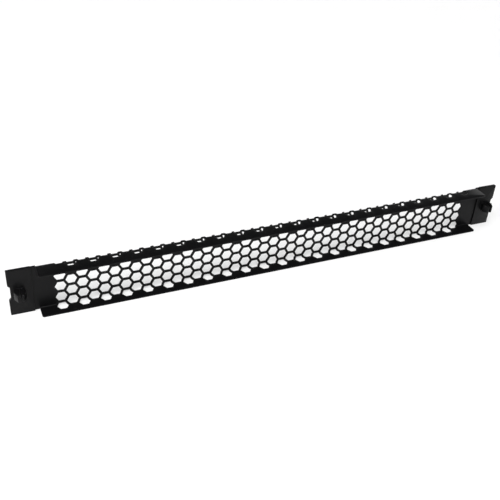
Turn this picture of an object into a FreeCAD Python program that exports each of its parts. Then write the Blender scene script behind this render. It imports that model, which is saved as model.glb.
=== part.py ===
import FreeCAD, Part
import math
import os
from FreeCAD import Vector

# A vented 1U rack blanking panel that snaps into square rack holes.
# X runs along the panel, +Y is the plain front face, -Y is the rear with the
# flanges and pegs, +Z is up. The origin is the middle of the bounding box,
# at the bottom, where the panel stands on its lower flange.
#
# Three pieces: one folded and perforated steel sheet, and two moulded end
# caps that slide over the tongues at its ends and carry the snap pegs.

# --- overall size, mm ---
PANEL_HEIGHT = 43.7             # one rack unit, less clearance to its neighbours
PEG_SPACING = 465.1             # between the rack's left and right hole columns
PEG_TO_EDGE = 8.75              # makes the whole panel 482.6 wide, which is 19 inches

# --- folded sheet ---
SHEET_THICKNESS = 1.2
BEND_INNER_RADIUS = 0.75
SHOULDER_LENGTH = 3.9           # flat sheet between the flanges' ends and a cap
TOP_FLANGE_DEPTH = 16.9         # front face to free edge
BOTTOM_FLANGE_DEPTH = 13.7
FLANGE_CORNER_RADIUS = 1.8      # free corners, seen from above

# --- perforation: flat-topped hexagons on a triangular grid ---
HOLE_PITCH = 10.7               # centre to centre, the same in all three directions
HOLE_ACROSS_FLATS = 8.6
HOLES_PER_COLUMN = 5
PLAIN_END = 10.0                # least plain sheet beyond the mesh, at each end
TOOL_MARGIN = 0.3               # how far a hole's tool stands clear of the sheet
BEND_SPANS = 2                  # steps that a hole's tool takes round a bend

# --- end caps ---
CAP_WIDTH = 19.6                # along X
CAP_FRONT_WALL = 0.5            # plastic in front of the sheet
CAP_REAR_WALL = 1.3             # plastic behind the sheet
CAP_EDGE_WALL = 2.2             # plastic above and below the tongue
CAP_END_WALL = 3.45             # plastic beyond the tongue's end
CAP_CORNER_RADIUS = 0.4
TONGUE_CLEARANCE = 0.15         # round the tongue's three edges
TONGUE_CORNER_RADIUS = 1.5
NOTCH_MOUTH = 15.2              # in the cap's outer edge, at mid height
NOTCH_FLOOR = 11.1
NOTCH_DEPTH = 1.8

# --- catch that keeps a cap on its tongue ---
CATCH_SPACING = 26.0            # two catches, above and below the peg
CATCH_WINDOW_WIDTH = 5.0        # window in the tongue, along X
CATCH_WINDOW_HEIGHT = 3.0
CATCH_CLEARANCE = 0.2           # round the catch in its window
CATCH_RISE = 0.7                # how far the catch stands into the window

# --- snap peg: two arms with side barbs, for a 9.5 mm square hole ---
PEG_LENGTH = 9.3
PEG_HEIGHT = 8.0
PEG_TIP_HEIGHT = 6.8
PEG_NECK_WIDTH = 8.8
PEG_NECK_LENGTH = 3.0           # the rail's thickness, with room to spare
PEG_BARB_WIDTH = 10.0
PEG_BARB_RISE = 1.2             # length of the slope behind each barb
PEG_TIP_WIDTH = 5.0
PEG_SLOT_WIDTH = 1.4            # gap between the arms
PEG_ROOT = 1.4                  # solid length where the arms meet

# --- places that follow from the sizes above ---
BEND_OUTER_RADIUS = BEND_INNER_RADIUS + SHEET_THICKNESS
BEND_MID_RADIUS = BEND_INNER_RADIUS + SHEET_THICKNESS / 2
OVERALL_DEPTH = CAP_FRONT_WALL + TOP_FLANGE_DEPTH
FRONT_Y = OVERALL_DEPTH / 2 - CAP_FRONT_WALL
REAR_Y = FRONT_Y - SHEET_THICKNESS
MIDDLE_Z = PANEL_HEIGHT / 2
CAP_OUTER_X = PEG_SPACING / 2 + PEG_TO_EDGE
CAP_INNER_X = CAP_OUTER_X - CAP_WIDTH
CAP_REAR_Y = REAR_Y - CAP_REAR_WALL
TONGUE_LENGTH = CAP_WIDTH - CAP_END_WALL - TONGUE_CLEARANCE
TONGUE_HEIGHT = PANEL_HEIGHT - 2 * (CAP_EDGE_WALL + TONGUE_CLEARANCE)
FLANGE_LENGTH = 2 * (CAP_INNER_X - SHOULDER_LENGTH)
COLUMN_PITCH = HOLE_PITCH * math.sqrt(3) / 2
HOLE_COLUMNS = 2 * int((FLANGE_LENGTH / 2 - PLAIN_END) / COLUMN_PITCH)


def box(x0, x1, y0, y1, z0, z1):
    return Part.makeBox(x1 - x0, y1 - y0, z1 - z0, Vector(x0, y0, z0))


def prism(points, direction):
    """A closed outline of points, pushed along a vector."""
    return Part.Face(Part.makePolygon(points + points[:1])).extrude(direction)


def fillet_where(shape, radius, wanted):
    edges = [edge for edge in shape.Edges if wanted(edge)]
    return shape.makeFillet(radius, edges)


def runs_along(edge, axis):
    ends = [vertex.Point for vertex in edge.Vertexes]
    if len(ends) != 2:
        return False
    span = ends[1] - ends[0]
    return span.Length > 1e-6 and abs(abs(span.dot(axis)) - span.Length) < 1e-6


# --- folded sheet ---

def flange_section(side, depth):
    """Section of one bend with its flange, in the YZ plane at X = 0.

    side is +1 for the top and -1 for the bottom.
    """
    outer_z = MIDDLE_Z + side * PANEL_HEIGHT / 2
    inner_z = outer_z - side * SHEET_THICKNESS
    bend_z = outer_z - side * BEND_OUTER_RADIUS
    bend_y = FRONT_Y - BEND_OUTER_RADIUS
    free_y = FRONT_Y - depth
    half = math.sqrt(0.5)

    def on_arc(radius):
        return Vector(0, bend_y + radius * half, bend_z + side * radius * half)

    outer_start = Vector(0, FRONT_Y, bend_z)
    outer_end = Vector(0, bend_y, outer_z)
    inner_start = Vector(0, REAR_Y, bend_z)
    inner_end = Vector(0, bend_y, inner_z)
    free_outer = Vector(0, free_y, outer_z)
    free_inner = Vector(0, free_y, inner_z)
    edges = [
        Part.Arc(outer_start, on_arc(BEND_OUTER_RADIUS), outer_end).toShape(),
        Part.makeLine(outer_end, free_outer),
        Part.makeLine(free_outer, free_inner),
        Part.makeLine(free_inner, inner_end),
        Part.Arc(inner_end, on_arc(BEND_INNER_RADIUS), inner_start).toShape(),
        Part.makeLine(inner_start, outer_start),
    ]
    return Part.Face(Part.Wire(edges))


def flange(side, depth):
    section = flange_section(side, depth)
    section.translate(Vector(-FLANGE_LENGTH / 2, 0, 0))
    solid = section.extrude(Vector(FLANGE_LENGTH, 0, 0))
    free_y = FRONT_Y - depth
    return fillet_where(
        solid,
        FLANGE_CORNER_RADIUS,
        lambda edge: runs_along(edge, Vector(0, 0, 1)) and abs(edge.Vertexes[0].Y - free_y) < 1e-6,
    )


def tongue(side):
    """The sheet's end inside a cap, with two windows for the cap's catches."""
    root_x = CAP_INNER_X
    low_z = MIDDLE_Z - TONGUE_HEIGHT / 2
    solid = box(
        root_x - SHOULDER_LENGTH / 2, root_x + TONGUE_LENGTH,
        REAR_Y, FRONT_Y,
        low_z, low_z + TONGUE_HEIGHT,
    )
    solid = fillet_where(
        solid,
        TONGUE_CORNER_RADIUS,
        lambda edge: runs_along(edge, Vector(0, 1, 0)) and edge.Vertexes[0].X > root_x,
    )
    x0, x1 = catch_span(0)
    for z0, z1 in catch_levels(0):
        solid = solid.cut(box(x0, x1, REAR_Y, FRONT_Y, z0, z1))
    return turned(solid, side)


def catch_span(clearance):
    """Where a catch, or its window with no clearance, lies along X."""
    half = CATCH_WINDOW_WIDTH / 2 - clearance
    return PEG_SPACING / 2 - half, PEG_SPACING / 2 + half


def catch_levels(clearance):
    """The lower and upper catch's bottom and top."""
    half = CATCH_WINDOW_HEIGHT / 2 - clearance
    middles = [MIDDLE_Z + level * CATCH_SPACING / 2 for level in (-1, 1)]
    return [(middle - half, middle + half) for middle in middles]


def turned(solid, side):
    """The right-hand solid itself, or the same solid turned to the left end."""
    if side > 0:
        return solid
    copy = solid.copy()
    copy.rotate(Vector(0, 0, MIDDLE_Z), Vector(0, 1, 0), 180)
    return copy


def station(unrolled):
    """Point on the sheet's middle surface and its outward normal, at X = 0.

    unrolled is the distance from the panel's mid height, measured along the
    sheet as it was before folding.
    """
    side = 1 if unrolled > 0 else -1
    flat = PANEL_HEIGHT / 2 - BEND_OUTER_RADIUS
    arc = BEND_MID_RADIUS * math.pi / 2
    distance = abs(unrolled)
    if distance <= flat:
        return Vector(0, FRONT_Y - SHEET_THICKNESS / 2, MIDDLE_Z + unrolled), Vector(0, 1, 0)
    centre = Vector(0, FRONT_Y - BEND_OUTER_RADIUS, MIDDLE_Z + side * flat)
    angle = min(distance - flat, arc) / BEND_MID_RADIUS
    normal = Vector(0, math.cos(angle), side * math.sin(angle))
    point = centre + normal * BEND_MID_RADIUS
    beyond = max(distance - flat - arc, 0)
    return point - Vector(0, beyond, 0), normal


def flat_face(points):
    return Part.Face(Part.makePolygon(points + points[:1]))


def twisted_face(a, b, c, d):
    """The ruled wall between the edges a-b and d-c, which aren't parallel."""
    return Part.makeRuledSurface(Part.makeLine(a, b), Part.makeLine(d, c))


def hole_tool(x, centre):
    """Cutter for one hexagon that was punched flat, and then folded with the sheet."""
    side_length = HOLE_ACROSS_FLATS / math.sqrt(3)
    flat = PANEL_HEIGHT / 2 - BEND_OUTER_RADIUS
    arc = BEND_MID_RADIUS * math.pi / 2
    levels = {centre - HOLE_ACROSS_FLATS / 2, centre, centre + HOLE_ACROSS_FLATS / 2}
    for step in range(BEND_SPANS + 1):
        bend_level = flat + arc * step / BEND_SPANS
        levels.update(level for level in (-bend_level, bend_level) if abs(level - centre) < HOLE_ACROSS_FLATS / 2)
    reach = SHEET_THICKNESS / 2 + TOOL_MARGIN
    rings = []
    for level in sorted(levels):
        point, normal = station(level)
        half_width = side_length - abs(level - centre) / math.sqrt(3)
        left = Vector(x - half_width, 0, 0) + point
        right = Vector(x + half_width, 0, 0) + point
        rings.append([
            left - normal * reach, right - normal * reach,
            right + normal * reach, left + normal * reach,
        ])
    faces = [flat_face(rings[0]), flat_face(rings[-1])]
    for low, high in zip(rings, rings[1:]):
        turns = (low[3] - low[0]).getAngle(high[3] - high[0]) > 1e-6
        side_wall = twisted_face if turns else lambda *corners: flat_face(list(corners))
        faces.append(flat_face([low[0], low[1], high[1], high[0]]))
        faces.append(flat_face([low[3], low[2], high[2], high[3]]))
        faces.append(side_wall(low[1], low[2], high[2], high[1]))
        faces.append(side_wall(low[0], low[3], high[3], high[0]))
    solid = Part.Solid(Part.Shell(faces))
    if solid.Volume < 0:
        solid.reverse()
    return solid


def hole_tools():
    tools = []
    for column in range(HOLE_COLUMNS):
        x = (column - (HOLE_COLUMNS - 1) / 2) * COLUMN_PITCH
        shift = HOLE_PITCH / 4 if column % 2 else -HOLE_PITCH / 4
        for row in range(HOLES_PER_COLUMN):
            centre = (row - (HOLES_PER_COLUMN - 1) / 2) * HOLE_PITCH + shift
            tools.append(hole_tool(x, centre))
    return tools


def vented_panel():
    bend = BEND_OUTER_RADIUS
    face = box(-FLANGE_LENGTH / 2, FLANGE_LENGTH / 2, REAR_Y, FRONT_Y, bend, PANEL_HEIGHT - bend)
    pieces = [flange(1, TOP_FLANGE_DEPTH), flange(-1, BOTTOM_FLANGE_DEPTH)]
    for side in (-1, 1):
        shoulder = box(FLANGE_LENGTH / 2, CAP_INNER_X, REAR_Y, FRONT_Y, 0, PANEL_HEIGHT)
        pieces.append(turned(shoulder, side))
        pieces.append(tongue(side))
    blank = face.multiFuse(pieces).removeSplitter()
    return blank.cut(hole_tools())


# --- end caps ---

def notch_tool():
    """The shallow notch in the outer edge of a cap."""
    floor_x = CAP_OUTER_X - NOTCH_DEPTH
    front_y = FRONT_Y + CAP_FRONT_WALL
    points = [
        Vector(CAP_OUTER_X, front_y, MIDDLE_Z - NOTCH_MOUTH / 2),
        Vector(floor_x, front_y, MIDDLE_Z - NOTCH_FLOOR / 2),
        Vector(floor_x, front_y, MIDDLE_Z + NOTCH_FLOOR / 2),
        Vector(CAP_OUTER_X, front_y, MIDDLE_Z + NOTCH_MOUTH / 2),
    ]
    return prism(points, Vector(0, CAP_REAR_Y - front_y, 0))


def snap_peg():
    centre_x = PEG_SPACING / 2
    neck_y = CAP_REAR_Y - PEG_NECK_LENGTH
    barb_y = neck_y - PEG_BARB_RISE
    tip_y = CAP_REAR_Y - PEG_LENGTH
    right_side = [
        (PEG_NECK_WIDTH / 2, CAP_REAR_Y),
        (PEG_NECK_WIDTH / 2, neck_y),
        (PEG_BARB_WIDTH / 2, barb_y),
        (PEG_TIP_WIDTH / 2, tip_y),
    ]
    low_z = MIDDLE_Z - PEG_HEIGHT / 2
    outline = [Vector(centre_x + x, y, low_z) for x, y in right_side]
    outline += [Vector(centre_x - x, y, low_z) for x, y in reversed(right_side)]
    peg = prism(outline, Vector(0, 0, PEG_HEIGHT))

    # The peg also narrows upwards and downwards, from its neck to its tip.
    half_wide = PEG_BARB_WIDTH / 2
    side_view = [
        Vector(centre_x - half_wide, CAP_REAR_Y, low_z),
        Vector(centre_x - half_wide, neck_y, low_z),
        Vector(centre_x - half_wide, tip_y, MIDDLE_Z - PEG_TIP_HEIGHT / 2),
        Vector(centre_x - half_wide, tip_y, MIDDLE_Z + PEG_TIP_HEIGHT / 2),
        Vector(centre_x - half_wide, neck_y, low_z + PEG_HEIGHT),
        Vector(centre_x - half_wide, CAP_REAR_Y, low_z + PEG_HEIGHT),
    ]
    peg = peg.common(prism(side_view, Vector(PEG_BARB_WIDTH, 0, 0)))

    half_slot = PEG_SLOT_WIDTH / 2
    slot = box(
        centre_x - half_slot, centre_x + half_slot,
        tip_y, CAP_REAR_Y - PEG_ROOT,
        low_z, low_z + PEG_HEIGHT,
    )
    return peg.cut(slot)


def end_cap(side):
    front_y = FRONT_Y + CAP_FRONT_WALL
    body = box(CAP_INNER_X, CAP_OUTER_X, CAP_REAR_Y, front_y, 0, PANEL_HEIGHT)
    body = fillet_where(body, CAP_CORNER_RADIUS, lambda edge: runs_along(edge, Vector(0, 1, 0)))
    body = body.cut(notch_tool())

    pocket_half = TONGUE_HEIGHT / 2 + TONGUE_CLEARANCE
    pocket_end = CAP_INNER_X + TONGUE_LENGTH + TONGUE_CLEARANCE
    pocket = box(
        CAP_INNER_X, pocket_end,
        REAR_Y, FRONT_Y,
        MIDDLE_Z - pocket_half, MIDDLE_Z + pocket_half,
    )
    body = body.cut(pocket)

    # Each catch is a ramp that the tongue climbs on its way in, and a step that holds it.
    additions = [snap_peg()]
    x0, x1 = catch_span(CATCH_CLEARANCE)
    for z0, z1 in catch_levels(CATCH_CLEARANCE):
        ramp = [Vector(x0, REAR_Y, z0), Vector(x1, REAR_Y, z0), Vector(x1, REAR_Y + CATCH_RISE, z0)]
        additions.append(prism(ramp, Vector(0, 0, z1 - z0)))
    return turned(body.multiFuse(additions).removeSplitter(), side)


def export(name, shape):
    solids = shape.Solids
    assert shape.isValid() and len(solids) == 1, name
    shape = solids[0]
    shape.exportStep("parts/" + name + ".step")
    size = shape.BoundBox
    print("%-14s volume %9.1f mm3  faces %4d  box %.2f..%.2f  %.2f..%.2f  %.2f..%.2f" % (
        name, shape.Volume, len(shape.Faces),
        size.XMin, size.XMax, size.YMin, size.YMax, size.ZMin, size.ZMax))


os.makedirs("parts", exist_ok=True)
export("vented_panel", vented_panel())
export("end_cap_left", end_cap(-1))
export("end_cap_right", end_cap(1))
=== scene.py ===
# %% [markdown]
# # A vented rack blanking panel
#
# This lesson dresses a one-unit blanking panel for an equipment rack. The real
# object is three pieces: one long sheet of steel, punched full of hexagons,
# folded and powder coated, and two moulded end caps that snap into the rack.
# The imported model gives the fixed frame: every piece is made around its sizes,
# and nothing here moves or resizes it.

# %% Load the frame
import math
import bmesh
import bpy
from mathutils import Matrix, Vector


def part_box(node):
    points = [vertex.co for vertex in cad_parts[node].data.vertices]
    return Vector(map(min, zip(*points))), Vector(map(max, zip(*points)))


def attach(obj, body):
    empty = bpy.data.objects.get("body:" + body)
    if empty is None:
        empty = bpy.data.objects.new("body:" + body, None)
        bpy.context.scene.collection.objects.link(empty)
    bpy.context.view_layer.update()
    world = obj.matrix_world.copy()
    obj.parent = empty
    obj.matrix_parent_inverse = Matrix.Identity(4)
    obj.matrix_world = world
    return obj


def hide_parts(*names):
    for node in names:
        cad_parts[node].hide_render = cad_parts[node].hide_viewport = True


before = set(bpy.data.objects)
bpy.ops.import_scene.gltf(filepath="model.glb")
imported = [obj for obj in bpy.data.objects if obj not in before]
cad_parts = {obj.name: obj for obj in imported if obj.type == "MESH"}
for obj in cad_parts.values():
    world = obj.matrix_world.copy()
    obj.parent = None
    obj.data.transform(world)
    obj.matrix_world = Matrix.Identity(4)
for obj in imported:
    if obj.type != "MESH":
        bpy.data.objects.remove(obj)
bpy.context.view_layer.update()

print("nodes:", sorted(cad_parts))

# %% [markdown]
# ## Working in millimetres
#
# Blender works in metres, and sheet metal is drawn in millimetres. One factor
# turns a drawing size into a scene size. Two lengths count as the same when they
# are within a thousandth of a millimetre.

# %% Units and the frame's own sizes
MM = 0.001
NEAR = 0.001 * MM

panel_low, panel_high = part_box("vented_panel")
cap_low, cap_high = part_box("end_cap_right")
MIDDLE_Z = (panel_low.z + panel_high.z) / 2
print("panel, mm:", [round(size / MM, 2) for size in panel_high - panel_low])
print("cap, mm:", [round(size / MM, 2) for size in cap_high - cap_low])

# %% [markdown]
# ## The camera
#
# The panel is seen from behind and above, from its left end, through a slightly
# long lens. The camera comes first, so that each piece can be judged in its
# final view. It is turned by three angles: round the vertical, down towards the
# table, and a small roll about its own axis.

# %% Camera
CAMERA_PLACE = Vector((-273.8, -514.6, 405.1)) * MM
CAMERA_HEADING = math.radians(25.2)
CAMERA_DIP = math.radians(33.75)
CAMERA_ROLL = math.radians(4.04)
CAMERA_LENS = 54.93
CAMERA_SENSOR = 36

camera_data = bpy.data.cameras.new("studio_camera")
camera_data.lens = CAMERA_LENS
camera_data.sensor_width = CAMERA_SENSOR
camera = bpy.data.objects.new("studio_camera", camera_data)
bpy.context.scene.collection.objects.link(camera)
camera.location = CAMERA_PLACE
turn = (
    Matrix.Rotation(-CAMERA_HEADING, 4, "Z")
    @ Matrix.Rotation(math.pi / 2 - CAMERA_DIP, 4, "X")
    @ Matrix.Rotation(CAMERA_ROLL, 4, "Z")
)
camera.rotation_euler = turn.to_euler()
bpy.context.scene.camera = camera
bpy.context.scene.view_settings.view_transform = "Standard"
print("camera stands %.0f mm from the origin" % (camera.location.length / MM))

# %% [markdown]
# ## Helpers for edit mode
#
# An operator acts on all that is selected, so each step first picks its faces
# or edges by where they lie. These helpers make one object active, and select
# in edit mode by a test on the place. The others cut, apply a modifier, and
# soften a piece's edges.

# %% Selecting, cutting and softening
SMOOTH_ANGLE = math.radians(35)


def only(piece):
    """Selects one object, and nothing else, and makes it active."""
    bpy.ops.object.select_all(action="DESELECT")
    piece.select_set(True)
    bpy.context.view_layer.objects.active = piece


def edit(piece, elements):
    """Enters edit mode with nothing selected, to select verts, edges or faces."""
    only(piece)
    bpy.ops.object.mode_set(mode="EDIT")
    bpy.ops.mesh.select_mode(type=elements)
    bpy.ops.mesh.select_all(action="DESELECT")


def leave():
    """Goes back to object mode."""
    bpy.ops.object.mode_set(mode="OBJECT")


def pick(piece, kind, test):
    """Selects the verts, edges or faces that pass a test. Returns how many did."""
    bpy.ops.mesh.select_all(action="DESELECT")
    shape = bmesh.from_edit_mesh(piece.data)
    chosen = [element for element in getattr(shape, kind) if test(element)]
    for element in chosen:
        element.select_set(True)
    shape.select_flush_mode()
    bmesh.update_edit_mesh(piece.data)
    return len(chosen)


def middle(element):
    """The middle of an edge or face."""
    places = [vert.co for vert in element.verts]
    return sum(places, Vector()) / len(places)


def select_everything():
    """Selects the whole mesh in edit mode."""
    bpy.ops.mesh.select_all(action="SELECT")


def cut(point, normal):
    """Bisects the selected faces with a plane."""
    bpy.ops.mesh.bisect(plane_co=point, plane_no=normal, threshold=NEAR)


def slice_piece(piece, point, normal):
    """Bisects a whole piece with a plane, and keeps both sides."""
    edit(piece, "FACE")
    select_everything()
    cut(point, normal)
    leave()


def apply_modifier(piece, kind, **settings):
    """Adds a modifier with its settings, and applies it."""
    only(piece)
    modifier = piece.modifiers.new(kind.lower(), kind)
    for name, value in settings.items():
        setattr(modifier, name, value)
    bpy.ops.object.modifier_apply(modifier=modifier.name)


def soften(piece, width, segments, least_angle):
    """Bevels the edges that turn by more than an angle, and shades the rest smooth."""
    apply_modifier(
        piece,
        "BEVEL",
        width=width,
        segments=segments,
        limit_method="ANGLE",
        angle_limit=math.radians(least_angle),
        use_clamp_overlap=True,
    )
    only(piece)
    bpy.ops.object.shade_smooth_by_angle(angle=SMOOTH_ANGLE)


bpy.ops.object.select_all(action="DESELECT")
print("nothing is selected:", not bpy.context.selected_objects)

# %% [markdown]
# ## The perforated sheet: one hexagon
#
# A press punches the hexagons while the sheet is still flat, so the model
# starts flat too, standing in the XZ plane. The sheet between the holes is a
# honeycomb. Its unit is a hexagon as wide as the pitch, with a hole as wide as
# the punch: a six-sided circle, and an inset half a web wide. The hole keeps
# its face for now, so that the sheet's outer edge is the only open edge. The
# first cell lies at the left end, at the bottom. Its column sits a quarter of a
# pitch low, and the next one a quarter high.

# %% One cell
HOLE_PITCH = 10.7 * MM
HOLE_ACROSS_FLATS = 8.6 * MM
COLUMN_PITCH = HOLE_PITCH * math.sqrt(3) / 2
COLUMNS = 44
ROWS = 5

first_x = -(COLUMNS - 1) / 2 * COLUMN_PITCH
first_level = -(ROWS - 1) / 2 * HOLE_PITCH - HOLE_PITCH / 4
bpy.ops.mesh.primitive_circle_add(
    vertices=6,
    radius=HOLE_PITCH / math.sqrt(3),
    fill_type="NGON",
    location=(first_x, 0, first_level),
    rotation=(math.pi / 2, math.pi / 6, 0),
)
sheet = bpy.context.object
sheet.name = "perforated_sheet"
bpy.ops.object.transform_apply(location=True, rotation=True, scale=True)
edit(sheet, "FACE")
select_everything()
bpy.ops.mesh.inset(thickness=(HOLE_PITCH - HOLE_ACROSS_FLATS) / 2)
leave()
print("one cell:", len(sheet.data.polygons), "faces")

# %% [markdown]
# ## From one cell to the whole honeycomb
#
# Array modifiers repeat the cell: five up make a column, and its copy, moved by
# half a pitch, is the next column. The pair is repeated along the panel.
# Corners that meet are merged, so the honeycomb is one surface.

# %% Honeycomb
MERGE_DISTANCE = 0.01 * MM


def repeat(piece, count, offset):
    """Repeats a piece at equal steps."""
    apply_modifier(
        piece,
        "ARRAY",
        count=count,
        use_relative_offset=False,
        use_constant_offset=True,
        constant_offset_displace=offset,
    )


repeat(sheet, ROWS, (0, 0, HOLE_PITCH))
only(sheet)
bpy.ops.object.duplicate_move(TRANSFORM_OT_translate={"value": (COLUMN_PITCH, 0, HOLE_PITCH / 2)})
sheet.select_set(True)
bpy.context.view_layer.objects.active = sheet
bpy.ops.object.transform_apply(location=True, rotation=False, scale=False)
bpy.ops.object.join()
repeat(sheet, COLUMNS // 2, (2 * COLUMN_PITCH, 0, 0))
edit(sheet, "VERT")
select_everything()
bpy.ops.mesh.remove_doubles(threshold=MERGE_DISTANCE)
leave()
print("honeycomb:", len(sheet.data.vertices), "corners,", len(sheet.data.polygons), "faces")

# %% [markdown]
# ## Plain margins round the honeycomb
#
# The outline of the honeycomb is a zigzag. Its upper edges are extruded and
# scaled flat on the line of the free edge, then the lower ones, and last both
# ends. The levels are counted along the flat sheet, so each flange adds its
# straight length to the bend's length at the sheet's middle. Two half sizes
# tell the honeycomb's outer edges apart: how high the valleys of the zigzag
# lie, and how far out its last level edges reach.

# %% Margins
SHEET_THICKNESS = 1.2 * MM
BEND_INNER_RADIUS = 0.75 * MM
BEND_OUTER_RADIUS = BEND_INNER_RADIUS + SHEET_THICKNESS
BEND_MID_RADIUS = BEND_INNER_RADIUS + SHEET_THICKNESS / 2
BEND_ARC = BEND_MID_RADIUS * math.pi / 2
FLANGE_LENGTH = 435.6 * MM
TOP_FLANGE_DEPTH = panel_high.y - panel_low.y
BOTTOM_FLANGE_DEPTH = 13.7 * MM
FLAT_HALF = (panel_high.z - panel_low.z) / 2 - BEND_OUTER_RADIUS

top_edge = FLAT_HALF + BEND_ARC + TOP_FLANGE_DEPTH - BEND_OUTER_RADIUS
bottom_edge = -(FLAT_HALF + BEND_ARC + BOTTOM_FLANGE_DEPTH - BEND_OUTER_RADIUS)
valley_half = ROWS / 2 * HOLE_PITCH - HOLE_PITCH / 4
side_half = -first_x + HOLE_PITCH / math.sqrt(12)


def extend_to(piece, test, axis, level):
    """Extrudes the open edges that pass a test, and scales the new ones flat on a level."""
    edit(piece, "EDGE")
    count = pick(piece, "edges", lambda edge: edge.is_boundary and test(middle(edge)))
    bpy.ops.mesh.extrude_edges_move()
    flat = Vector((1, 1, 1))
    flat[axis] = 0
    centre = Vector()
    centre[axis] = level
    bpy.ops.transform.resize(value=flat, center_override=centre)
    leave()
    return count


upper = extend_to(
    sheet, lambda at: at.z > valley_half - NEAR and abs(at.x) < side_half, 2, top_edge)
lower = extend_to(
    sheet, lambda at: at.z < -valley_half + NEAR and abs(at.x) < side_half, 2, bottom_edge)
left = extend_to(sheet, lambda at: at.x < -side_half + NEAR, 0, -FLANGE_LENGTH / 2)
right = extend_to(sheet, lambda at: at.x > side_half - NEAR, 0, FLANGE_LENGTH / 2)
print("edges extruded, top, bottom, ends:", upper, lower, left, right)
print("flat sheet, mm:", [round(size / MM, 2) for size in sheet.dimensions])

# %% [markdown]
# ## Opening the holes and rounding the free corners
#
# The hole faces are the only ones with six corners, so they are picked by that
# and deleted. The four free corners are rounded with a vertex bevel.

# %% Holes and corners
CORNER_RADIUS = 1.8 * MM

edit(sheet, "FACE")
holes = pick(sheet, "faces", lambda face: len(face.verts) == 6)
bpy.ops.mesh.delete(type="FACE")
bpy.ops.mesh.select_mode(type="VERT")
pick(
    sheet,
    "verts",
    lambda vert: abs(vert.co.x) > FLANGE_LENGTH / 2 - NEAR
    and (abs(vert.co.z - top_edge) < NEAR or abs(vert.co.z - bottom_edge) < NEAR),
)
bpy.ops.mesh.bevel(offset=CORNER_RADIUS, segments=6, affect="VERTICES")
leave()
print("holes opened:", holes)

# %% [markdown]
# ## Folding
#
# A press brake bends the sheet over a small radius. Bisect cuts give the bend
# its own rows of corners, four steps to each bend. Then each corner goes from
# its level on the flat sheet to its place round the fold: straight up the face,
# along the arc, and back along the flange. The holes that cross the bend fold
# with it, as on the real panel.

# %% Fold
BEND_STEPS = 4
MID_Y = panel_high.y - SHEET_THICKNESS / 2

for side in (-1, 1):
    for step in range(BEND_STEPS + 1):
        level = side * (FLAT_HALF + BEND_ARC * step / BEND_STEPS)
        slice_piece(sheet, (0, 0, level), (0, 0, 1))


def folded(place):
    """Where a corner of the flat sheet lies once the sheet is folded."""
    side = math.copysign(1, place.z)
    beyond = abs(place.z) - FLAT_HALF
    if beyond <= 0:
        return Vector((place.x, MID_Y, MIDDLE_Z + place.z))
    angle = min(beyond / BEND_MID_RADIUS, math.pi / 2)
    run = max(beyond - BEND_ARC, 0)
    bend_y = MID_Y - BEND_MID_RADIUS * (1 - math.cos(angle))
    bend_z = FLAT_HALF + BEND_MID_RADIUS * math.sin(angle)
    return Vector((place.x, bend_y - run, MIDDLE_Z + side * bend_z))


for vert in sheet.data.vertices:
    vert.co = folded(vert.co)
sheet.data.update()
print("folded sheet, mm:", [round(size / MM, 2) for size in sheet.dimensions])

# %% [markdown]
# ## Shoulders and tongues
#
# Past the flanges the face goes on at its full height, as a narrow shoulder
# that the end cap butts against. A lower tongue reaches on into the cap's
# pocket, where the cap holds it.

# %% Shoulders and tongues
CAP_INNER_X = cap_low.x
TONGUE_END_X = panel_high.x
TONGUE_HEIGHT = 39.0 * MM
TONGUE_HALF = TONGUE_HEIGHT / 2


def grow(piece, test, offset):
    """Extrudes the open edges that pass a test, by an offset."""
    edit(piece, "EDGE")
    pick(piece, "edges", lambda edge: edge.is_boundary and test(middle(edge)))
    bpy.ops.mesh.extrude_edges_move()
    bpy.ops.transform.translate(value=offset)
    leave()


def on_face(place):
    """Whether a place lies on the upright face, at the sheet's middle."""
    return abs(place.y - MID_Y) < NEAR


for side in (-1, 1):
    flange_end = side * FLANGE_LENGTH / 2
    shoulder_end = side * CAP_INNER_X
    grow(
        sheet,
        lambda at: on_face(at) and abs(at.x - flange_end) < NEAR,
        (shoulder_end - flange_end, 0, 0),
    )
    for half in (-1, 1):
        edit(sheet, "FACE")
        pick(sheet, "faces", lambda face: side * middle(face).x > FLANGE_LENGTH / 2 + NEAR)
        cut((0, 0, MIDDLE_Z + half * TONGUE_HALF), (0, 0, 1))
        leave()
    grow(
        sheet,
        lambda at: abs(at.x - shoulder_end) < NEAR and abs(at.z - MIDDLE_Z) < TONGUE_HALF,
        (side * (TONGUE_END_X - CAP_INNER_X), 0, 0),
    )
    for half in (-1, 1):
        bend_start = MIDDLE_Z + half * FLAT_HALF
        grow(
            sheet,
            lambda at: abs(at.z - bend_start) < NEAR and side * at.x > FLANGE_LENGTH / 2,
            (0, 0, half * BEND_OUTER_RADIUS),
        )
print("sheet with tongues, mm:", [round(size / MM, 2) for size in sheet.dimensions])

# %% [markdown]
# ## Thickness and broken edges
#
# A Solidify modifier gives the sheet its 1.2 mm, half to each side. Powder coat
# rounds every sharp edge a little, so a small bevel catches the light there.

# %% Thickness and edges
COATED_EDGE = 0.16 * MM

edit(sheet, "FACE")
select_everything()
bpy.ops.mesh.normals_make_consistent(inside=False)
leave()
apply_modifier(sheet, "SOLIDIFY", thickness=SHEET_THICKNESS, offset=0, use_even_offset=True)
soften(sheet, COATED_EDGE, segments=2, least_angle=50)
print("sheet faces:", len(sheet.data.polygons))

# %% [markdown]
# ## An end cap: the body
#
# The cap is one moulding: a flat body with a shallow notch in its outer edge, a
# pocket for the tongue, and a split snap peg behind. It starts as a block at
# the frame's size. Cuts at the notch's corners let its floor be pushed in.

# %% Cap body
CAP_REAR_Y = 5.7 * MM
CAP_CORNER_RADIUS = 0.4 * MM
NOTCH_MOUTH = 15.2 * MM
NOTCH_FLOOR = 11.1 * MM
NOTCH_DEPTH = 1.8 * MM

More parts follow.
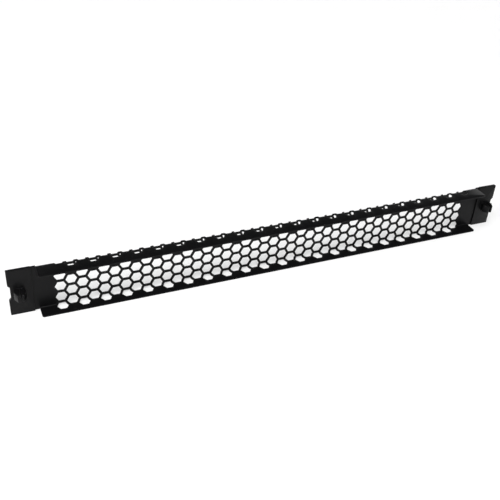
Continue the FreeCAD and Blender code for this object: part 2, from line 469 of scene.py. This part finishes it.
low = Vector((CAP_INNER_X, CAP_REAR_Y, cap_low.z))
bpy.ops.mesh.primitive_cube_add(size=1, location=(low + cap_high) / 2, scale=cap_high - low)
cap = bpy.context.object
cap.name = "snap_end_cap_right"
bpy.ops.object.transform_apply(location=True, rotation=True, scale=True)

edit(cap, "EDGE")
pick(cap, "edges", lambda edge: abs(edge.verts[0].co.y - edge.verts[1].co.y) > NEAR)
bpy.ops.mesh.bevel(offset=CAP_CORNER_RADIUS, segments=4, affect="EDGES")
leave()
for half in (NOTCH_MOUTH / 2, NOTCH_FLOOR / 2):
    slice_piece(cap, (0, 0, MIDDLE_Z + half), (0, 0, 1))
    slice_piece(cap, (0, 0, MIDDLE_Z - half), (0, 0, 1))
edit(cap, "FACE")
pick(
    cap,
    "faces",
    lambda face: middle(face).x > cap_high.x - NEAR
    and abs(middle(face).z - MIDDLE_Z) < NOTCH_FLOOR / 2,
)
bpy.ops.transform.translate(value=(-NOTCH_DEPTH, 0, 0))
leave()
print("cap body faces:", len(cap.data.polygons))

# %% [markdown]
# ## An end cap: the pocket
#
# Two cuts at the sheet's surfaces and two at the tongue's edges mark the
# pocket's mouth on the cap's inner side. That patch is pushed in.

# %% Pocket
TONGUE_CLEARANCE = 0.15 * MM
POCKET_HALF = TONGUE_HALF + TONGUE_CLEARANCE
POCKET_DEPTH = TONGUE_END_X - CAP_INNER_X + TONGUE_CLEARANCE

for level in (panel_high.y - SHEET_THICKNESS, panel_high.y):
    slice_piece(cap, (0, level, 0), (0, 1, 0))
for level in (MIDDLE_Z - POCKET_HALF, MIDDLE_Z + POCKET_HALF):
    slice_piece(cap, (0, 0, level), (0, 0, 1))
edit(cap, "FACE")
pick(
    cap,
    "faces",
    lambda face: middle(face).x < CAP_INNER_X + NEAR
    and abs(middle(face).z - MIDDLE_Z) < POCKET_HALF
    and abs(middle(face).y - MID_Y) < SHEET_THICKNESS / 2,
)
bpy.ops.mesh.extrude_region_move(TRANSFORM_OT_translate={"value": (POCKET_DEPTH, 0, 0)})
leave()
print("pocket goes in %.1f mm" % (POCKET_DEPTH / MM))

# %% [markdown]
# ## An end cap: the snap peg
#
# The peg has two arms with a slot between them, and each arm has a barb that
# snaps behind the rail. A solid root comes first. The arms are then extruded
# backwards in three steps: the neck, out to the barb, and in to the narrow tip
# that leads into the square hole.

# %% Peg
PEG_X = 232.55 * MM
PEG_HALF_HEIGHT = 4.0 * MM
PEG_TIP_HALF_HEIGHT = 3.4 * MM
PEG_NECK_HALF = 4.4 * MM
PEG_BARB_HALF = 5.0 * MM
PEG_TIP_HALF = 2.5 * MM
PEG_SLOT_HALF = 0.7 * MM
PEG_ROOT = 1.4 * MM
PEG_NECK = 3.0 * MM
PEG_BARB = 1.2 * MM
PEG_LENGTH = 9.3 * MM

for offset in (-PEG_NECK_HALF, -PEG_SLOT_HALF, PEG_SLOT_HALF, PEG_NECK_HALF):
    slice_piece(cap, (PEG_X + offset, 0, 0), (1, 0, 0))
for level in (MIDDLE_Z - PEG_HALF_HEIGHT, MIDDLE_Z + PEG_HALF_HEIGHT):
    slice_piece(cap, (0, 0, level), (0, 0, 1))


def peg_end(y, half_width):
    """A test for the faces of the peg at one depth, within half a width."""
    def test(face):
        at = middle(face)
        return (
            abs(at.y - y) < NEAR
            and abs(at.x - PEG_X) < half_width
            and abs(at.z - MIDDLE_Z) < PEG_HALF_HEIGHT
        )
    return test


def push_back(length):
    """Extrudes the selected faces to the rear."""
    bpy.ops.mesh.extrude_region_move(TRANSFORM_OT_translate={"value": (0, -length, 0)})


def spread_arms(change):
    """Moves the outer side of both arms' selected ends, away from the peg's middle."""
    shape = bmesh.from_edit_mesh(cap.data)
    chosen = [vert for vert in shape.verts if vert.select]
    for vert in chosen:
        from_middle = vert.co.x - PEG_X
        if abs(from_middle) > PEG_SLOT_HALF + NEAR:
            vert.co.x += math.copysign(1, from_middle) * change
    bmesh.update_edit_mesh(cap.data)


edit(cap, "FACE")
pick(cap, "faces", peg_end(CAP_REAR_Y, PEG_NECK_HALF))
push_back(PEG_ROOT)
root_y = CAP_REAR_Y - PEG_ROOT
in_patch = peg_end(root_y, PEG_NECK_HALF)
in_slot = peg_end(root_y, PEG_SLOT_HALF)
pick(cap, "faces", lambda face: in_patch(face) and not in_slot(face))
push_back(PEG_NECK - PEG_ROOT)
push_back(PEG_BARB)
spread_arms(PEG_BARB_HALF - PEG_NECK_HALF)
push_back(PEG_LENGTH - PEG_NECK - PEG_BARB)
spread_arms(PEG_TIP_HALF - PEG_BARB_HALF)
bpy.ops.transform.resize(
    value=(1, 1, PEG_TIP_HALF_HEIGHT / PEG_HALF_HEIGHT), center_override=(0, 0, MIDDLE_Z))
leave()
print("cap, mm:", [round(size / MM, 2) for size in cap.dimensions])

# %% [markdown]
# ## An end cap: moulded edges, and the second cap
#
# A mould never leaves a knife-sharp edge. The same small bevel goes round the
# whole cap. The left cap is the same moulding turned half a turn, so it is a
# copy, turned about the panel's middle.

# %% Cap edges and the left cap
MOULDED_EDGE = 0.2 * MM

edit(cap, "FACE")
select_everything()
bpy.ops.mesh.dissolve_limited(angle_limit=math.radians(1))
bpy.ops.mesh.normals_make_consistent(inside=False)
leave()
soften(cap, MOULDED_EDGE, segments=3, least_angle=25)
bpy.ops.object.duplicate()
left_cap = bpy.context.object
left_cap.name = "snap_end_cap_left"
bpy.ops.transform.rotate(
    value=math.pi, orient_axis="Y", orient_type="GLOBAL", center_override=(0, 0, MIDDLE_Z))
bpy.ops.object.transform_apply(location=True, rotation=True, scale=True)
print("left cap spans x, mm:", [round(corner[0] / MM, 1) for corner in left_cap.bound_box][::4])

# %% [markdown]
# ## Helpers for materials
#
# Colours are written as sRGB hex values, as on a paint chart, and turned to
# linear light by one function. Another adds a node, sets its inputs and joins
# it up. Both finishes are the same kind of skin: noises of a real grain size,
# two tones that drift into each other, and a film of plastic over them.

# %% Colour and node helpers
FILM_SPECULAR = 0.115


def paint(hex_value):
    """An sRGB hex colour, such as "1A1A1B", as linear RGBA."""
    shares = [int(hex_value[i:i + 2], 16) / 255 for i in (0, 2, 4)]
    linear = [s / 12.92 if s <= 0.04045 else ((s + 0.055) / 1.055) ** 2.4 for s in shares]
    return (*linear, 1)


def node(material, kind, settings=None, links=None, **inputs):
    """Adds a node. settings are its properties, links its sources, inputs its sockets' values."""
    made = material.node_tree.nodes.new("ShaderNode" + kind)
    for name, value in (settings or {}).items():
        setattr(made, name, value)
    for name, value in inputs.items():
        made.inputs[name.replace("_", " ")].default_value = value
    for name, source in (links or {}).items():
        material.node_tree.links.new(source, made.inputs[name])
    return made


def new_material(name):
    """A material with no nodes yet."""
    material = bpy.data.materials.new(name)
    material.use_nodes = True
    material.node_tree.nodes.clear()
    return material


def noise(material, place, grain_size, detail, roughness):
    """A noise with grains of a real size, from 0 to 1."""
    made = node(
        material,
        "TexNoise",
        links={"Vector": place},
        Scale=1 / grain_size,
        Detail=detail,
        Roughness=roughness,
    )
    return made.outputs["Fac"]


def two_tones(material, source, dark, light):
    """A colour that drifts from a dark tone to a light one."""
    tone = node(material, "ValToRGB", links={"Fac": source})
    dark_end, light_end = tone.color_ramp.elements
    dark_end.position = 0.3
    dark_end.color = paint(dark)
    light_end.position = 0.7
    light_end.color = paint(light)
    return tone.outputs["Color"]


def film(material, colour, roughness, normal, refraction):
    """Covers a material with a film of dark plastic."""
    shader = node(
        material,
        "BsdfPrincipled",
        links={"Base Color": colour, "Roughness": roughness, "Normal": normal},
        IOR=refraction,
        Specular_IOR_Level=FILM_SPECULAR,
    )
    node(material, "OutputMaterial", links={"Surface": shader.outputs["BSDF"]})


print("mid grey is", [round(part, 3) for part in paint("808080")])

# %% [markdown]
# ## Powder-coated steel
#
# Black polyester powder, sprayed dry and baked. It flows into a satin skin with
# a faint orange peel about a millimetre across, and a much finer grain. The
# gloss is that of a plastic film, with no metal in it, so the colour is a dark
# dielectric and only roughness and bump break it up.

# %% Powder coat
coat = new_material("satin_black_powder_coat")
place = node(coat, "TexCoord").outputs["Object"]
peel = noise(coat, place, 1.1 * MM, detail=2.0, roughness=0.5)
grain = noise(coat, place, 0.3 * MM, detail=3.0, roughness=0.6)
drift = noise(coat, place, 25 * MM, detail=2.0, roughness=0.5)
tone = two_tones(coat, drift, "0A0A0B", "0E0E0F")
gloss = node(coat, "MapRange", links={"Value": grain}, To_Min=0.28, To_Max=0.38)
fine = node(coat, "Bump", links={"Height": grain}, Strength=0.12, Distance=0.02 * MM)
surface = node(
    coat,
    "Bump",
    links={"Height": peel, "Normal": fine.outputs["Normal"]},
    Strength=0.2,
    Distance=0.04 * MM,
)
film(coat, tone, gloss.outputs["Result"], surface.outputs["Normal"], refraction=1.5)
print("material:", coat.name)

# %% [markdown]
# ## Moulded ABS
#
# Black ABS from a spark-eroded mould: a fine even texture of about a quarter of
# a millimetre, a little glossier than the powder coat beside it.

# %% Moulded ABS
abs_plastic = new_material("black_moulded_abs")
place = node(abs_plastic, "TexCoord").outputs["Object"]
spark = noise(abs_plastic, place, 0.25 * MM, detail=2.0, roughness=0.6)
flow = noise(abs_plastic, place, 9 * MM, detail=1.0, roughness=0.5)
tone = two_tones(abs_plastic, flow, "09090A", "0C0C0D")
gloss = node(abs_plastic, "MapRange", links={"Value": spark}, To_Min=0.26, To_Max=0.36)
surface = node(
    abs_plastic, "Bump", links={"Height": spark}, Strength=0.15, Distance=0.02 * MM)
film(abs_plastic, tone, gloss.outputs["Result"], surface.outputs["Normal"], refraction=1.53)
print("material:", abs_plastic.name)

# %% [markdown]
# ## Joining the pieces to the frame
#
# Each piece gets its finish, rides on the object's one body, and stands for the
# solid that it dresses.

# %% Finish and frame
for piece, material, slot, solid in (
    (sheet, coat, "coated_steel", "vented_panel"),
    (cap, abs_plastic, "moulded_plastic", "end_cap_right"),
    (left_cap, abs_plastic, "moulded_plastic", "end_cap_left"),
):
    piece.data.materials.clear()
    piece.data.materials.append(material)
    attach(piece, "root")
    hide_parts(solid)
    triangles = sum(len(face.vertices) - 2 for face in piece.data.polygons)
    print(piece.name, "has", triangles, "triangles")

# %% [markdown]
# ## The studio floor and backdrop
#
# A plain white board, with a low white wall all round it. The Light Path node
# adds a share of pure white for the camera and for reflections: a third on the
# floor, which so looks white and still takes the panel's shadow, and all of it
# on the wall. The wall stays low, so that the flanges' tops hardly mirror it.

# %% Floor and backdrop
STUDIO_RADIUS = 6.0
STUDIO_SIDES = 96
BACKDROP_HEIGHT = 2.3
FLOOR_WHITE = 0.35
BACKDROP_WHITE = 1.0


def white_board(name, white_share):
    """A diffuse white with a share of even white for camera, glossy and transmission rays."""
    board = new_material(name)
    paper = node(board, "BsdfDiffuse", Color=paint("FAFAFA"))
    glow = node(board, "Emission", Color=paint("FFFFFF"), Strength=1.0)
    ray = node(board, "LightPath")
    seen = node(
        board,
        "Math",
        {"operation": "MAXIMUM"},
        links={0: ray.outputs["Is Camera Ray"], 1: ray.outputs["Is Glossy Ray"]},
    )
    seen_or_through = node(
        board,
        "Math",
        {"operation": "MAXIMUM"},
        links={0: seen.outputs["Value"], 1: ray.outputs["Is Transmission Ray"]},
    )
    share = node(
        board, "Math", {"operation": "MULTIPLY"}, links={0: seen_or_through.outputs["Value"]})
    share.inputs[1].default_value = white_share
    blend = node(
        board,
        "MixShader",
        links={
            "Fac": share.outputs["Value"],
            1: paper.outputs["BSDF"],
            2: glow.outputs["Emission"],
        },
    )
    node(board, "OutputMaterial", links={"Surface": blend.outputs["Shader"]})
    return board


bpy.ops.mesh.primitive_circle_add(vertices=STUDIO_SIDES, radius=STUDIO_RADIUS, fill_type="NGON")
floor = bpy.context.object
floor.name = "studio_floor"
floor.data.materials.append(white_board("matt_white_board", FLOOR_WHITE))

bpy.ops.mesh.primitive_cylinder_add(
    vertices=STUDIO_SIDES,
    radius=STUDIO_RADIUS,
    depth=BACKDROP_HEIGHT,
    end_fill_type="NOTHING",
    location=(0, 0, BACKDROP_HEIGHT / 2),
)
backdrop = bpy.context.object
backdrop.name = "studio_backdrop"
backdrop.data.materials.append(white_board("even_white_backdrop", BACKDROP_WHITE))
print("studio is %.0f m across" % (2 * STUDIO_RADIUS))

# %% [markdown]
# ## The studio lights
#
# A very wide soft lamp hangs high behind the panel, on the camera's side. A sun
# lamp with a wide angle stands in for it, because it lights the whole board
# evenly. A small softbox adds a little on the left. The sky is weak, so the
# tops of the flanges, which mirror the sky, stay darker than the upright faces,
# which mirror the board.

# %% Lamps and sky
SOFTBOX_SPREAD = math.radians(75)
SOFTBOX_STRENGTH = 3.2
SMALL_SOFTBOX_SIZE = 0.6
SMALL_SOFTBOX_POWER = 6.0
SKY_STRENGTH = 0.06


def hang(name, kind, place, target, strength):
    """Hangs a lamp at a place, turned to shine on a target."""
    data = bpy.data.lights.new(name, kind)
    data.energy = strength
    lamp = bpy.data.objects.new(name, data)
    bpy.context.scene.collection.objects.link(lamp)
    lamp.location = place
    lamp.rotation_euler = (Vector(place) - Vector(target)).to_track_quat("Z", "Y").to_euler()
    return data


wide_softbox = hang("wide_softbox", "SUN", (-0.4, -1.0, 1.7), (0, 0, 0), SOFTBOX_STRENGTH)
wide_softbox.angle = SOFTBOX_SPREAD
small_softbox = hang(
    "small_softbox", "AREA", (-0.9, -0.35, 0.55), (-0.2, 0, 0), SMALL_SOFTBOX_POWER)
small_softbox.shape = "DISK"
small_softbox.size = SMALL_SOFTBOX_SIZE

world = bpy.data.worlds.new("studio_sky")
world.use_nodes = True
bpy.context.scene.world = world
sky = world.node_tree.nodes["Background"]
sky.inputs["Color"].default_value = paint("FFFFFF")
sky.inputs["Strength"].default_value = SKY_STRENGTH
